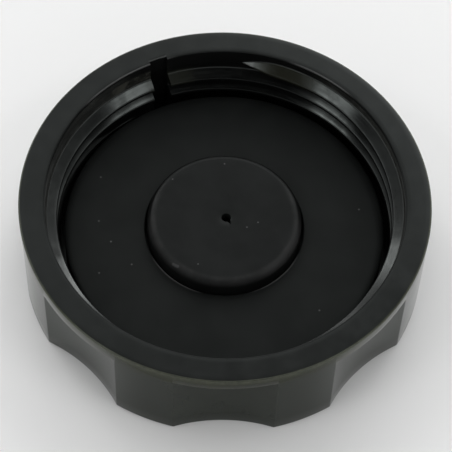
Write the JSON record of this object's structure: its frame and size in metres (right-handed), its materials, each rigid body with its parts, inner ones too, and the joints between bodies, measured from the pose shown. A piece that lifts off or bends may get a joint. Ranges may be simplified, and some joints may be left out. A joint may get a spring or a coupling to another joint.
{
  "type": "fuel cap",
  "caption": "Round black vented screw cap for a fuel filler neck, with grip flutes, a coarse internal thread cut by a vent slot, a flat rubber gasket and a raised breather cover.",
  "frame": {"origin": "middle of the closed end's outer face, on the plane that the cap rests on", "axes": "+Z along the cap's axis, from the closed end out of the open, threaded mouth; -Y through the middle of one grip flute; the vent slot is 22.5 degrees past +Y towards -X"},
  "size_m": [0.0914, 0.0914, 0.0245],
  "materials": {
    "cap_plastic": "satin moulded black plastic with faint scuffs and dust",
    "carrier_plastic": "matt moulded black plastic",
    "breather_foam": "open-cell dark grey foam",
    "gasket_rubber": "matt black rubber with dust",
    "cover_rubber": "soft matt black rubber with dust"
  },
  "bodies": {
    "root": {"cap_body": "cap_plastic", "vent_carrier": "carrier_plastic", "breather_foam": "breather_foam", "seal_gasket": "gasket_rubber", "vent_cover": "cover_rubber"}
  },
  "joints": []
}
